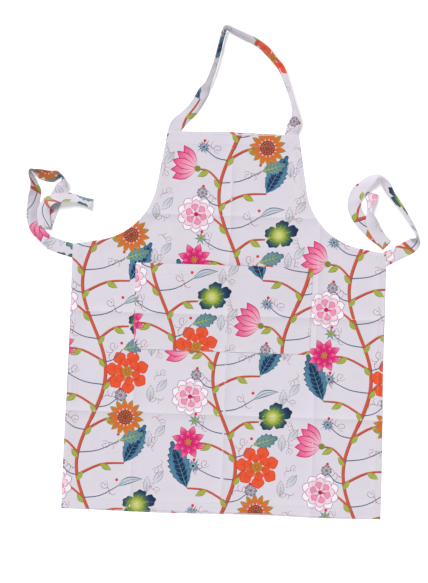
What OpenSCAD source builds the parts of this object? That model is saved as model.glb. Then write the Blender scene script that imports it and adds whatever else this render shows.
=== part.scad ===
// Cotton kitchen apron with a bib, a front pocket, a neck strap and two waist ties.
// It lies face up: +X runs to the right, +Y up the apron to the neck and +Z up from the table.
// The origin is under the middle of the bottom hem's outer edge.

/* [Apron] */
// Width along the bottom hem
hem_w = 700; // [660:5:760]
// Width across the top ends of the side seams
waist_w = 686; // [650:2:740]
// Length of the side seams
side_h = 582; // [540:2:620]
// Length from the bottom hem to the top of the bib
body_h = 836; // [800:2:880]
// Width of the bib along its top edge
bib_w = 288; // [284:2:310]
// Angle by which the bib's sides spread downwards
bib_flare = 9.6; // [6:0.2:12]
// Slope of the armhole where it reaches the side seam, in degrees
arm_dip = 9.6; // [6:0.2:14]
// Radius of the armhole's curve
arm_r = 147; // [120:1:160]

/* [Pocket] */
// Width of the pocket
pocket_w = 388; // [300:2:420]
// Height of the pocket
pocket_h = 190; // [150:2:220]
// Height of the pocket's bottom edge above the bottom hem
pocket_y = 355; // [300:1:360]
// How far the pocket's middle sits to the right of the apron's middle
pocket_shift = -10; // [-20:1:20]
// How far the pocket's mouth stands off the apron at its middle
pocket_rise = 9; // [8:0.5:14]

/* [Cloth and turnings] */
// Thickness of one layer of the cotton cloth
cloth_t = 0.5; // [0.4:0.05:0.5]
// Width of the turning down each side seam
side_turn = 14; // [10:1:18]
// Width of the turning around each armhole
arm_turn = 12; // [8:1:16]
// Width of the turning along the bottom
bottom_turn = 24; // [18:1:30]
// Width of the turning along the top of the bib
bib_turn = 30; // [26:1:36]
// Width of the turning along the pocket's mouth
mouth_turn = 25; // [18:1:30]

/* [Straps] */
// Width of the neck strap and of both waist ties
strap_w = 30; // [26:1:30]
// Gap in the cloth along each seam that a strap folds about
fold_gap = 0.6; // [0.4:0.1:1]

/* [Hidden] */

fold_t = 2 * cloth_t;          // two layers: every turning and every strap
panel_z = fold_t;              // underside of the front panel, on top of the turnings
front_z = panel_z + cloth_t;   // face of the front panel
pocket_z = front_z + cloth_t;  // underside of the pocket where it is sewn down
thread_w = 0.6;                // width and height of a sewn thread line
thread_h = 0.25;
sew_in = 2;                    // from a turning's inner edge to its line of stitches
strap_sew_in = 3;              // from a strap's edge to its line of stitches
tack = 20;                     // side of the crossed square that holds a strap's end
tack_in = 4;                   // from the bib's top edge to the square
curve_n = 14;                  // steps around the armhole
strap_n = 4;                   // steps between two points of a strap's route
pocket_n = 18;                 // steps across the pocket, between its side turnings
pocket_m = 8;                  // steps up the pocket, below the turning at its mouth
ground = "lavender";

// Lines that the straps fold about, measured as their routes are
neck_fold_y = 1;               // above the top of the bib
left_fold_y = 18;              // above the top of the left side seam
right_fold_y = 6;              // above the top of the right side seam

// Sewn ends of the ties: middle line from under the turning to past the fold,
// measured from the top of the side seam
left_root = [[17, -21], [0, -16], [-38, -5], [-51, 0], [-63, 9], [-85, 31]];
right_root = [[-19, -22], [0, -11], [31, 7], [66, 27]];

// Routes of the free straps: x, y, height of the lower edge and tilt about the run.
// A fifth number, where there is one, is the direction of the strap's left edge.
// The neck strap's y is above the top of the bib, its x from the apron's middle.
neck_route = [[-129, 1.3, 0, 0, 180], [-124, 14, 0, 4], [-108, 31, 0, 2], [-89, 51, 0, 10],
    [-70, 83, 0, 25], [-56, 115, 0, 48], [-44, 154, 0, 60], [-36, 192, 0, 68],
    [-30, 219, 0, 66], [-24, 229, 0, 62], [-8, 222, 0, 62], [19, 210, 0, 57], [40, 201, 0, 57],
    [63, 185, 0, 57], [87, 159, 0, 55], [101, 142, 0, 52], [115, 107, 0, 62], [127, 73, 0, 66],
    [132, 55, 0, 58], [134, 38, 0, 44], [131, 18, 0, 20], [128, 1.3, 0, 0, 0]];
// The left tie's route is measured from the top of the left side seam
left_route = [[-72.5, 18.3, 0, 0, 180], [-84, 33, 0, 3], [-91, 58, 0, 20], [-89, 93, 0, 30],
    [-86, 115, 0, 38], [-91, 134, 0, 64], [-99, 150, 0, 82], [-97, 158, 0, 86],
    [-88, 155, 0, 74], [-73, 148, 0, 40], [-51, 145, 0, 30], [-36, 149, 0, 60],
    [-28, 147, 0, 82], [-25, 138, 0, 66], [-28, 124, 0, 14], [-33, 112, 0, 0],
    [-41, 97, 0, 0], [-54, 65, 1.6, 0], [-61, 42, 1.8, 0], [-62, 36, 1.8, 0, -10],
    [-62.6, 31, 3.8, 0, -8], [-63, 36, 5.8, 180, 176], [-65, 48, 5.8, 180],
    [-67, 70, 5.5, 176], [-58, 88, 5.5, 150], [-42, 97, 5.5, 138], [-25, 100, 5.5, 136],
    [-8, 100, 2, 137], [10, 96, 0, 140], [38, 88, 0, 150]];
// The right tie's route is measured from the top of the right side seam
right_route = [[32, 6.3, 0, 0, 180], [58, 22, 0, 0, 118], [63, 30, 0, 28], [66, 39, 0, 70],
    [57, 60, 0, 60], [42, 83, 0, 50], [26, 107, 0, 42], [7, 132, 0, 36], [-8, 154, 0, 44],
    [-18, 167, 0, 68], [-27, 169, 0.6, 72], [-37, 162, 1.6, 44], [-50, 150, 2.5, 20],
    [-69, 128, 0.6, 14], [-73, 101, 0, 6], [-60, 75, 0, 0], [-36, 50, 0, 0],
    [-8, 27, 0, 0], [-1, 21, 0, 0, 50], [1, 19, 1.4, 0, 50], [-1, 21, 2.8, 180, 228],
    [-14, 35, 3, 180, 226], [-29, 57, 3.8, 168], [-37, 77, 4, 145], [-41, 93, 1.5, 122],
    [-39, 114, 0, 132], [-35, 133, 0, 176]];

// ---- plane geometry of the outline ----

function along(angle) = [cos(angle), sin(angle)];
function leftward(d) = [-d.y, d.x];
// Where the line through p along d meets the line through q along e
function meet(p, d, q, e) = p + d * cross(q - p, e) / cross(d, e);

// The right-hand edge is three lines that run up the outline, each moved inwards by inset
side_dir = along(atan2(side_h, (waist_w - hem_w) / 2));
dip_dir = along(180 - arm_dip);
bib_dir = along(90 + bib_flare);
function side_at(inset) = [hem_w / 2, 0] + leftward(side_dir) * inset;
function dip_at(inset) = [waist_w / 2, side_h] + leftward(dip_dir) * inset;
function bib_at(inset) = [bib_w / 2, body_h] + leftward(bib_dir) * inset;

function side_point(inset, y) = meet(side_at(inset), side_dir, [0, y], [1, 0]);
function bib_point(inset, y) = meet(bib_at(inset), bib_dir, [0, y], [1, 0]);
// Where the side seam, moved in by inset, meets the armhole, moved in by dip_inset
function corner(inset, dip_inset) =
    meet(side_at(inset), side_dir, dip_at(dip_inset), dip_dir);

// Armhole from the side seam up to the bib, as an arc that touches both lines
function armhole(inset) =
    let (r = arm_r + inset,
         far = dip_at(inset) - leftward(dip_dir) * r,
         near = bib_at(inset) - leftward(bib_dir) * r,
         middle = meet(far, dip_dir, near, bib_dir),
         from = 90 - arm_dip + 180,
         to = bib_flare + 180)
    [for (i = [0 : curve_n]) middle + r * along(from + (to - from) * i / curve_n)];

function reversed(list) = [for (i = [len(list) - 1 : -1 : 0]) list[i]];
function mirrored(list) = [for (p = reversed(list)) [-p.x, p.y]];

// Right-hand edge at one inset, between two heights
function right_edge(inset, low, high) = concat([side_point(inset, low), corner(inset, inset)],
    armhole(inset), [bib_point(inset, high)]);

module sheet_of(points, z, thickness) {
    translate([0, 0, z]) linear_extrude(thickness) polygon(points);
}

module on_both_sides() {
    children();
    mirror([1, 0, 0]) children();
}

// ---- turnings ----

module armhole_hem_shape() {
    top = body_h - bib_turn;
    outer = concat([corner(0, 0)], armhole(0), [bib_point(0, top)]);
    inner = concat([corner(0, arm_turn)], armhole(arm_turn), [bib_point(arm_turn, top)]);
    sheet_of(concat(outer, reversed(inner)), 0, fold_t);
}

module side_hem_shape() {
    sheet_of([side_point(0, bottom_turn), corner(0, arm_turn), corner(side_turn, arm_turn),
        side_point(side_turn, bottom_turn)], 0, fold_t);
}

// Flat strap along a middle line, cut off just below the line that it folds about
module tie_end_shape(root, side, fold_y) {
    last = len(root) - 1;
    function heading(i) = root[min(i + 1, last)] - root[max(i - 1, 0)];
    function beside(i, s) = root[i] + leftward(heading(i)) / norm(heading(i)) * s * strap_w / 2;
    reach = 2 * waist_w;
    translate([side * waist_w / 2, side_h, 0]) intersection() {
        linear_extrude(fold_t)
            polygon(concat([for (i = [0 : last]) beside(i, 1)],
                [for (i = [last : -1 : 0]) beside(i, -1)]));
        translate([-reach / 2, fold_y - fold_gap / 2 - reach, -fold_t])
            cube([reach, reach, 3 * fold_t]);
    }
}

// Flat end of the neck strap inside the bib's top turning
module neck_end_shape(root_x) {
    translate([root_x - strap_w / 2, body_h - bib_turn + tack_in, 0])
        cube([strap_w, bib_turn - tack_in + neck_fold_y - fold_gap / 2, fold_t]);
}

module left_notch() { tie_end_shape(left_root, -1, left_fold_y); }
module right_notch() { tie_end_shape(right_root, 1, right_fold_y); }
neck_left_x = neck_route[0].x;
neck_right_x = neck_route[len(neck_route) - 1].x;

module front_panel() {
    color(ground) sheet_of(concat([[-hem_w / 2, 0]], right_edge(0, 0, body_h),
        mirrored(right_edge(0, 0, body_h))), panel_z, cloth_t);
}

module bib_top_hem() {
    lower = bib_point(0, body_h - bib_turn);
    color(ground) difference() {
        sheet_of([[-lower.x, lower.y], lower, [bib_w / 2, body_h], [-bib_w / 2, body_h]],
            0, fold_t);
        neck_end_shape(neck_left_x);
        neck_end_shape(neck_right_x);
    }
}

module left_armhole_hem() {
    color(ground) difference() { mirror([1, 0, 0]) armhole_hem_shape(); left_notch(); }
}

module right_armhole_hem() {
    color(ground) difference() { armhole_hem_shape(); right_notch(); }
}

module left_side_hem() {
    color(ground) difference() { mirror([1, 0, 0]) side_hem_shape(); left_notch(); }
}

module right_side_hem() {
    color(ground) difference() { side_hem_shape(); right_notch(); }
}

module bottom_hem() {
    upper = side_point(0, bottom_turn);
    color(ground) sheet_of([[-hem_w / 2, 0], [hem_w / 2, 0], upper, [-upper.x, upper.y]],
        0, fold_t);
}

// ---- pocket ----

pocket_x = pocket_shift - pocket_w / 2;
// How far the pocket stands off at x and y: nothing where it is sewn, most at its mouth
function bulge(x, y) =
    let (across = 2 * (x - pocket_shift) / pocket_w, up = (y - pocket_y) / pocket_h)
    pocket_rise * (1 - pow(across, 4)) * pow(max(up, 0), 1.5);

// Where the pocket's sheets have points, across and up from its lower left corner. All of its
// sheets take theirs from these two lists, so that each one lies on the next exactly.
thread_in = sew_in + thread_w;
mouth = pocket_h - mouth_turn;
pocket_across = concat([0, sew_in, thread_in],
    [for (i = [0 : pocket_n]) arm_turn + (pocket_w - 2 * arm_turn) * i / pocket_n],
    [pocket_w - thread_in, pocket_w - sew_in, pocket_w]);
pocket_up = concat([0, sew_in, thread_in], [for (i = [1 : pocket_m]) mouth * i / pocket_m],
    [mouth + sew_in, mouth + thread_in, mouth + mouth_turn / 2, pocket_h]);

// Curved sheet that follows the pocket's bulge
module pocket_sheet(x0, x1, y0, y1, z, thickness) {
    nearly = thread_w / 10;
    xs = [for (x = pocket_across) if (x > x0 - nearly && x < x1 + nearly) pocket_x + x];
    ys = [for (y = pocket_up) if (y > y0 - nearly && y < y1 + nearly) pocket_y + y];
    row = len(xs);
    nx = row - 1;
    ny = len(ys) - 1;
    layer = row * len(ys);
    points = [for (k = [0, 1]) for (y = ys) for (x = xs) [x, y, z + k * thickness + bulge(x, y)]];
    function quad(a, b, c, d) = [[a, b, c], [a, c, d]];
    cells = [for (j = [0 : ny - 1]) for (i = [0 : nx - 1]) let (a = j * row + i) each concat(
        quad(a, a + 1, a + row + 1, a + row),
        quad(layer + a, layer + a + row, layer + a + row + 1, layer + a + 1))];
    near_far = [for (i = [0 : nx - 1]) let (b = ny * row + i) each concat(
        quad(i, layer + i, layer + i + 1, i + 1),
        quad(b, b + 1, layer + b + 1, layer + b))];
    ends = [for (j = [0 : ny - 1]) let (a = j * row, b = a + nx) each concat(
        quad(a, a + row, layer + a + row, layer + a),
        quad(b, layer + b, layer + b + row, b + row))];
    polyhedron(points, concat(cells, near_far, ends));
}

module pocket_panel() {
    color(ground) pocket_sheet(0, pocket_w, 0, pocket_h, pocket_z, cloth_t);
}

// The turning behind the mouth, between the two side turnings
module pocket_mouth_hem() {
    color(ground) pocket_sheet(arm_turn, pocket_w - arm_turn, mouth, pocket_h,
        pocket_z - cloth_t, cloth_t);
}

// One turned layer along the pocket's bottom and both of its sides
module pocket_turnings() {
    color(ground) translate([pocket_x, pocket_y, front_z]) linear_extrude(cloth_t) difference() {
        square([pocket_w, pocket_h]);
        translate([arm_turn, arm_turn]) square([pocket_w - 2 * arm_turn, pocket_h]);
    }
}

// ---- straps ----

function unit(v) = v / norm(v);
function blend4(a, b, c, d, t) = 0.5 * (2 * b + (c - a) * t + (2 * a - 5 * b + 4 * c - d) * t * t
    + (3 * b - a - 3 * c + d) * t * t * t);

// Each point of a route as the strap's middle and the way from there to its left edge
function rulings(route) =
    let (last = len(route) - 1)
    [for (i = [0 : last])
        let (p = route[i],
             back = route[max(i - 1, 0)],
             ahead = route[min(i + 1, last)],
             run = [ahead.x - back.x, ahead.y - back.y],
             heading = atan2(run.y, run.x),
             edge = len(p) > 4 ? p[4] : heading + 90,
             skew = i == 0 || i == last ? abs(sin(edge - heading)) : 1,
             half = strap_w / 2 * cos(p[3]) / skew,
             rise = strap_w / 2 * sin(p[3]))
        [[p.x, p.y, p.z + abs(rise) + fold_t / 2 * abs(cos(p[3]))],
         [half * cos(edge), half * sin(edge), rise]]];

// The same, with strap_n steps from each point to the next
function fine(list) =
    let (last = len(list) - 1)
    concat([for (i = [0 : last - 1]) for (k = [0 : strap_n - 1])
        let (a = list[max(i - 1, 0)], b = list[i], c = list[i + 1], d = list[min(i + 2, last)],
             t = k / strap_n,
             middle = blend4(a[0], b[0], c[0], d[0], t),
             half = blend4(a[1], b[1], c[1], d[1], t),
             lift = max(0, fold_t / 2 + abs(half.z) - middle.z))
        [middle + [0, 0, lift], half]], [list[last]]);

// Ribbon with points at the given places across the strap, which run from -1 to 1.
// Ribbons that share these places share their edges too, so that one lies on another exactly.
module ribbon(route, across, low, high) {
    rows = fine(rulings(route));
    last = len(rows) - 1;
    n = len(across);
    ring = 2 * n;
    function face_dir(i) = unit(cross(rows[min(i + 1, last)][0] - rows[max(i - 1, 0)][0],
        rows[i][1]));
    function spot(i, s, h) = rows[i][0] + rows[i][1] * s + face_dir(i) * h;
    points = [for (i = [0 : last]) each concat([for (s = across) spot(i, s, low)],
        [for (s = reversed(across)) spot(i, s, high)])];
    // Both faces of the ribbon share their diagonals, so that a twist leaves it as thick
    walls = [for (i = [0 : last - 1]) for (k = [0 : ring - 1])
        let (a = ring * i + k, b = ring * i + (k + 1) % ring, upper = k >= n && k < ring - 1)
        each upper ? [[a, a + ring, b], [b, a + ring, b + ring]]
            : [[a, a + ring, b + ring], [a, b + ring, b]]];
    // Square k of an end, numbered from its first point or from that of the last row
    function end_face(k, from, turn) = let (a = from + k, b = from + k + 1,
        c = from + ring - 2 - k, d = from + ring - 1 - k)
        turn ? [[a, c, b], [a, d, c]] : [[a, b, c], [a, c, d]];
    ends = [for (k = [0 : n - 2]) each concat(end_face(k, 0, false),
        end_face(k, ring * last, true))];
    polyhedron(points, concat(walls, ends));
}

// Outer and inner edges of the thread lines, as shares of half the strap's width
thread_outer = 1 - 2 * strap_sew_in / strap_w;
thread_inner = thread_outer - 2 * thread_w / strap_w;

module free_strap(route) {
    ribbon(route, [-1, -thread_outer, -thread_inner, thread_inner, thread_outer, 1],
        -fold_t / 2, fold_t / 2);
}

// A thread line inside each edge of a strap
module strap_threads(route) {
    ribbon(route, [thread_inner, thread_outer], fold_t / 2, fold_t / 2 + thread_h);
    ribbon(route, [-thread_outer, -thread_inner], fold_t / 2, fold_t / 2 + thread_h);
}

module at_bib_top() { translate([0, body_h, 0]) children(); }
module at_side_top(side) { translate([side * waist_w / 2, side_h, 0]) children(); }

module neck_strap() { color(ground) at_bib_top() free_strap(neck_route); }
module neck_strap_left_end() { color(ground) neck_end_shape(neck_left_x); }
module neck_strap_right_end() { color(ground) neck_end_shape(neck_right_x); }
module left_tie() { color(ground) at_side_top(-1) free_strap(left_route); }
module left_tie_end() { color(ground) left_notch(); }
module right_tie() { color(ground) at_side_top(1) free_strap(right_route); }
module right_tie_end() { color(ground) right_notch(); }

// ---- stitches ----

// Thread line at one inset from the right-hand edge
module edge_threads(inset) {
    low = bottom_turn;
    high = body_h - bib_turn;
    sheet_of(concat(right_edge(inset, low, high), reversed(right_edge(inset + thread_w, low,
        high))), front_z, thread_h);
}

module cross_threads(half_length, y) {
    translate([-half_length, y, front_z]) cube([2 * half_length, thread_w, thread_h]);
}

module hem_stitching() {
    color("white") {
        difference() {
            on_both_sides() edge_threads(arm_turn - sew_in);
            on_both_sides() at_tie_tack() linear_extrude(thread_h) square(tack, center = true);
        }
        cross_threads(side_point(0, bottom_turn).x - 1, bottom_turn - sew_in);
        cross_threads(bib_point(0, body_h - bib_turn).x - 1, body_h - bib_turn + sew_in);
    }
}

// Thread line on the pocket's face
module pocket_threads(x0, x1, y0, y1) {
    pocket_sheet(x0, x1, y0, y1, pocket_z + cloth_t, thread_h);
}

module pocket_stitching() {
    far = pocket_w - thread_in;
    color("white") {
        pocket_threads(sew_in, thread_in, sew_in, pocket_h);
        pocket_threads(far, pocket_w - sew_in, sew_in, pocket_h);
        pocket_threads(thread_in, far, sew_in, thread_in);
        pocket_threads(thread_in, far, mouth + sew_in, mouth + thread_in);
    }
}

module at_tie_tack() {
    translate([waist_w / 2 - tack / 2 - 1, side_h - tack / 2 - 8, front_z]) children();
}

// Square of thread with one diagonal cross, centred on the origin
module tack_square() {
    linear_extrude(thread_h) {
        difference() {
            square(tack, center = true);
            square(tack - 2 * thread_w, center = true);
        }
        for (turn = [45, -45]) rotate(turn)
            square([sqrt(2) * (tack - thread_w), thread_w], center = true);
    }
}

module neck_strap_tacks() {
    color("white") for (x = [neck_left_x, neck_right_x])
        translate([x, body_h - bib_turn + tack_in + tack / 2 + 1, front_z]) tack_square();
}

module tie_tacks() {
    color("white") on_both_sides() at_tie_tack() tack_square();
}

module neck_strap_stitching() { color("white") at_bib_top() strap_threads(neck_route); }
module left_tie_stitching() { color("white") at_side_top(-1) strap_threads(left_route); }
module right_tie_stitching() { color("white") at_side_top(1) strap_threads(right_route); }

front_panel();
bib_top_hem();
left_armhole_hem();
right_armhole_hem();
left_side_hem();
right_side_hem();
bottom_hem();
pocket_panel();
pocket_mouth_hem();
pocket_turnings();
neck_strap();
neck_strap_left_end();
neck_strap_right_end();
left_tie();
left_tie_end();
right_tie();
right_tie_end();
hem_stitching();
pocket_stitching();
neck_strap_tacks();
tie_tacks();
neck_strap_stitching();
left_tie_stitching();
right_tie_stitching();
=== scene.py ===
"""A printed cotton bib apron. It lies face up on a pale floor, with its neck strap and its two
waist ties in loose loops.

The cloth is cut flat first, in millimetres, as a pattern cutter would do it. The floral print is a
set of plain outlines that are cut into the flat cloth, so its edges stay sharp at any distance.
Each piece then gets laid into the frame, in metres, by its own function.
"""

from math import atan2, cos, log, pi, radians, sin

import bpy
import numpy as np
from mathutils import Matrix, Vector
from mathutils.bvhtree import BVHTree
from mathutils.geometry import delaunay_2d_cdt


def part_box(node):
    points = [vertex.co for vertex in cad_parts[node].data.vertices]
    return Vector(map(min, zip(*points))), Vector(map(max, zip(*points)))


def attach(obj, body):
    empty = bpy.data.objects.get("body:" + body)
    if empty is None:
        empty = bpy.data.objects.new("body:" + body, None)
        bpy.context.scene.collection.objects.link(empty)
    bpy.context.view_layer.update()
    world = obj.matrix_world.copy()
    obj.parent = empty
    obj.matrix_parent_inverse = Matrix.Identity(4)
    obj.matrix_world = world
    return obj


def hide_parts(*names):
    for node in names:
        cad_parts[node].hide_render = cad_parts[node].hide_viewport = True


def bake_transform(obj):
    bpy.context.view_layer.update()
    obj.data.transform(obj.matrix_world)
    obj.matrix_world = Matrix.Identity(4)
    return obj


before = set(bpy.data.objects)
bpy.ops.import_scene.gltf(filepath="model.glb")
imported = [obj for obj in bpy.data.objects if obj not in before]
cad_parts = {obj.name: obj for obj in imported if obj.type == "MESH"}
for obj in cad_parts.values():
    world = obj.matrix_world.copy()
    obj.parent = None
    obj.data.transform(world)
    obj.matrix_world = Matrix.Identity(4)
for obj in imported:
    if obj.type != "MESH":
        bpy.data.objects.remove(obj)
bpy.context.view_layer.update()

MM = 0.001

# ---- sizes, in millimetres; the overall ones come from the frame ----


def box_mm(node):
    low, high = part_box(node)
    return np.array(low) / MM, np.array(high) / MM


panel_low, panel_high = box_mm("front_panel")
pocket_low, pocket_high = box_mm("pocket_panel")
left_end_low, left_end_high = box_mm("neck_strap_left_end")

HEM_W = panel_high[0] - panel_low[0]
BODY_H = panel_high[1]
CLOTH_T = panel_high[2] - panel_low[2]
FOLD_T = 2 * CLOTH_T
STRAP_W = left_end_high[0] - left_end_low[0]
WAIST_W = 686.0
SIDE_H = 582.0
BIB_W = 288.0
BIB_FLARE = 9.6
ARM_DIP = 9.6
ARM_R = 147.0

POCKET_X = pocket_low[0]
POCKET_Y = pocket_low[1]
POCKET_W = pocket_high[0] - pocket_low[0]
POCKET_H = pocket_high[1] - pocket_low[1]
POCKET_RISE = 9.0

SIDE_TURN = 14.0
ARM_TURN = 12.0
BOTTOM_TURN = 24.0
BIB_TURN = 30.0
MOUTH_TURN = 25.0

EDGE_ROLL = 1.3  # how far in from a folded edge the cloth is rounded
SEW_IN = 2.0  # from a turning's inner edge to its stitches
STRAP_SEW_IN = 3.0
TACK = 20.0  # side of the square of stitches that holds a strap's end
TACK_IN = 4.0
STITCH = 3.0  # from one stitch to the next
THREAD_UP = 0.06  # from the cloth to the middle of a stitch
GRID = 6.5  # between the points of plain cloth
RIM_STEP = 6.0  # the most between the points of an outline
TURNING_GRID = 4.0
POCKET_GRID = 5.5
STRAP_GRID = 3.4
STRAP_RIM = 3.0
TURNING_GAP = 0.4  # between two turnings that meet
EDGE_GAP = EDGE_ROLL + 0.2  # from the folded edge to what is turned in
TURNED_PRINT = 0.1  # how much of the print shows on a turning

# Heights above the hem of the seams where the straps are sewn on
NECK_FOLD = BODY_H + 1
LEFT_FOLD = SIDE_H + 18
RIGHT_FOLD = SIDE_H + 6

# Middle lines of the straps, from under their turnings to their tips: x, y, height of the lower
# edge and tilt about the run. A fifth number is the direction of the strap's left edge.
NECK_ROUTE = [
    [-129, -26, 0, 0], [-129, -12, 0, 0], [-129, 1.3, 0, 0], [-124, 14, 0, 4], [-108, 31, 0, 2],
    [-89, 51, 0, 10], [-70, 83, 0, 25], [-56, 115, 0, 48], [-44, 154, 0, 60], [-36, 192, 0, 68],
    [-30, 219, 0, 66], [-24, 229, 0, 62], [-8, 222, 0, 62], [19, 210, 0, 57], [40, 201, 0, 57],
    [63, 185, 0, 57], [87, 159, 0, 55], [101, 142, 0, 52], [115, 107, 0, 62], [127, 73, 0, 66],
    [132, 55, 0, 58], [134, 38, 0, 44], [131, 18, 0, 20], [128, 1.3, 0, 0], [128, -12, 0, 0],
    [128, -26, 0, 0],
]
LEFT_ROUTE = [
    [17, -21, 0, 0], [0, -16, 0, 0], [-38, -5, 0, 0], [-51, 0, 0, 0], [-63, 9, 0, 0],
    [-72.5, 18.3, 0, 0], [-84, 33, 0, 3], [-91, 58, 0, 20], [-89, 93, 0, 30],
    [-86, 115, 0, 38], [-91, 134, 0, 64], [-99, 150, 0, 82], [-97, 158, 0, 86],
    [-88, 155, 0, 74], [-73, 148, 0, 40], [-51, 145, 0, 30], [-36, 149, 0, 60],
    [-28, 147, 0, 82], [-25, 138, 0, 66], [-28, 124, 0, 14], [-33, 112, 0, 0],
    [-41, 97, 0, 0], [-54, 65, 1.6, 0], [-61, 42, 1.8, 0], [-62, 36, 1.8, 0, -10],
    [-62.6, 31, 3.8, 0, -8], [-63, 36, 5.8, 180, 176], [-65, 48, 5.8, 180],
    [-67, 70, 5.5, 176], [-58, 88, 5.5, 150], [-42, 97, 5.5, 138], [-25, 100, 5.5, 136],
    [-8, 100, 2, 137], [10, 96, 0, 140], [38, 88, 0, 150],
]
RIGHT_ROUTE = [
    [-19, -22, 0, 0], [0, -11, 0, 0], [32, 6.3, 0, 0], [58, 22, 0, 0, 118], [63, 30, 0, 28],
    [66, 39, 0, 70], [57, 60, 0, 60], [42, 83, 0, 50], [26, 107, 0, 42], [7, 132, 0, 36],
    [-8, 154, 0, 44], [-18, 167, 0, 68], [-27, 169, 0.6, 72], [-37, 162, 1.6, 44],
    [-50, 150, 2.5, 20], [-69, 128, 0.6, 14], [-73, 101, 0, 6], [-60, 75, 0, 0],
    [-36, 50, 0, 0], [-8, 27, 0, 0], [-1, 21, 0, 0, 50], [1, 19, 1.4, 0, 50],
    [-1, 21, 2.8, 180, 228], [-14, 35, 3, 180, 226], [-29, 57, 3.8, 168], [-37, 77, 4, 145],
    [-41, 93, 1.5, 122], [-39, 114, 0, 132], [-35, 133, 0, 176],
]

# Lengthwise creases of the straps: where each starts and ends along the strap, where it is across
# it from -1 to 1, how high it stands and what share of the strap's width it takes up
NECK_CREASES = [
    (44, 150, -0.5, 3.0, 0.12), (130, 300, -0.45, 5.0, 0.42), (262, 400, 0.4, 3.2, 0.22),
    (380, 560, -0.3, 3.6, 0.26),
]
LEFT_CREASES = [
    (60, 190, 0.45, 3.0, 0.1), (190, 270, -0.5, 3.5, 0.15), (262, 320, 0.4, 2.4, 0.1),
    (430, 540, 0.3, -2.0, 0.06), (560, 630, -0.2, -2.0, 0.25),
]
RIGHT_CREASES = [
    (95, 250, 0.4, 3.6, 0.36), (240, 330, -0.4, 2.4, 0.1), (330, 420, 0.5, 1.8, 0.0),
    (440, 600, 0.3, -1.8, 0.1), (540, 600, 0.0, 2.4, 0.35),
]


# ---- colours ----


def rgb(red, green, blue):
    """Linear colour from its usual 0 to 255 values."""
    share = np.array([red, green, blue]) / 255
    return np.where(share > 0.04045, ((share + 0.055) / 1.055) ** 2.4, share / 12.92)


GROUND = rgb(225, 219, 230)
NAVY = rgb(16, 40, 78)
DEEP = rgb(24, 62, 96)
TEAL = rgb(46, 104, 138)
STEEL = rgb(96, 146, 172)
PALE_BLUE = rgb(190, 205, 214)
SLATE = rgb(84, 98, 122)
SAGE = rgb(98, 138, 132)
MIST = rgb(204, 208, 214)
LIME = rgb(186, 196, 74)
GREEN = rgb(86, 124, 62)
OLIVE = rgb(128, 138, 62)
CREAM = rgb(236, 230, 200)
ORANGE = rgb(238, 88, 44)
RED = rgb(218, 52, 50)
GOLD = rgb(196, 130, 44)
DARK_RED = rgb(160, 36, 34)
BARK = rgb(206, 88, 62)
BARK_DARK = rgb(148, 62, 56)
MAGENTA = rgb(228, 34, 122)
CERISE = rgb(196, 20, 92)
PINK = rgb(244, 150, 182)
BLUSH = rgb(250, 214, 226)
WHITE = rgb(250, 244, 250)
MAUVE = rgb(150, 120, 128)
PLUM = rgb(168, 90, 150)
GREY = rgb(138, 138, 152)
THREAD = rgb(204, 196, 210)


# ---- outlines ----


def along(angle):
    return np.array([cos(radians(angle)), sin(radians(angle))])


def curve(points, steps=4):
    """Smooth line through a few points."""
    given = np.array(points, float)
    held = np.vstack([given[:1], given, given[-1:]])
    out = []
    for i in range(len(given) - 1):
        a, b, c, d = held[i : i + 4]
        for t in np.arange(steps) / steps:
            bend = (2 * a - 5 * b + 4 * c - d) * t**2 + (3 * b - a - 3 * c + d) * t**3
            out.append((2 * b + (c - a) * t + bend) / 2)
    out.append(given[-1])
    return np.array(out)


def sides_of(line):
    """Unit vectors to the left of a line, one for each of its points."""
    way = np.gradient(line, axis=0)
    way /= np.linalg.norm(way, axis=1)[:, None]
    return np.column_stack([-way[:, 1], way[:, 0]])


def stroke(points, start, end, steps=4):
    """Outline of a line through a few points that is start wide at first and end wide at last."""
    line = curve(points, steps)
    half = sides_of(line) * np.linspace(start, end, len(line))[:, None] / 2
    return np.vstack([line - half, (line + half)[::-1]])


def blade(length, width, teeth=0, depth=0.0, bend=0.0, fullest=0.45):
    """Outline of a leaf or petal from the origin along +X, with teeth on each side."""
    t = np.linspace(0, 1, teeth * 2 + 1 if teeth else 11)
    half = width / 2 * np.sin(pi * t ** (log(0.5) / log(fullest)))
    x = t * length
    if teeth:
        bump = np.abs(np.sin(pi * t * teeth)) ** 0.7
        half = half * (1 - depth * (1 - bump))
        x = x + bump * length / teeth * 0.35
    spine = bend * np.sin(pi * t)
    lower = np.column_stack([x, spine - half])
    upper = np.column_stack([x, spine + half])
    return np.vstack([lower, upper[-2:0:-1]])


def lobed(length, width, lobes=5, depth=0.34):
    """Outline of a broad leaf from the origin along +X, with round lobes that are scalloped."""
    angle = np.linspace(-pi, pi, 12 * lobes, endpoint=False)
    bump = np.abs(np.cos(lobes * angle / 2)) ** 0.6
    r = 1 - depth * (1 - bump) + 0.045 * np.cos(3 * lobes * angle) + 0.07 * np.sin(2 * angle + 1)
    x = length * (0.5 + 0.5 * r * np.cos(angle))
    return np.column_stack([x, width / 2 * r * np.sin(angle)])


def rosette(radius, petals, inner, pointed=True):
    """Outline of a flower head or star about the origin. inner is the share left between petals."""
    per_petal = 2 if pointed else 6
    angle = np.arange(petals * per_petal) * 2 * pi / (petals * per_petal)
    bump = np.abs(np.sin(angle * petals / 2)) ** (1 if pointed else 0.5)
    r = radius * (inner + (1 - inner) * bump)
    return np.column_stack([r * np.cos(angle), r * np.sin(angle)])


def disc(radius):
    angle = np.arange(10) * 2 * pi / 10
    return np.column_stack([radius * np.cos(angle), radius * np.sin(angle)])


def turned(points, angle, x=0.0, y=0.0, scale=1.0):
    c, s = cos(radians(angle)) * scale, sin(radians(angle)) * scale
    return np.array(points, float) @ np.array([[c, s], [-s, c]]) + [x, y]


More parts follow.
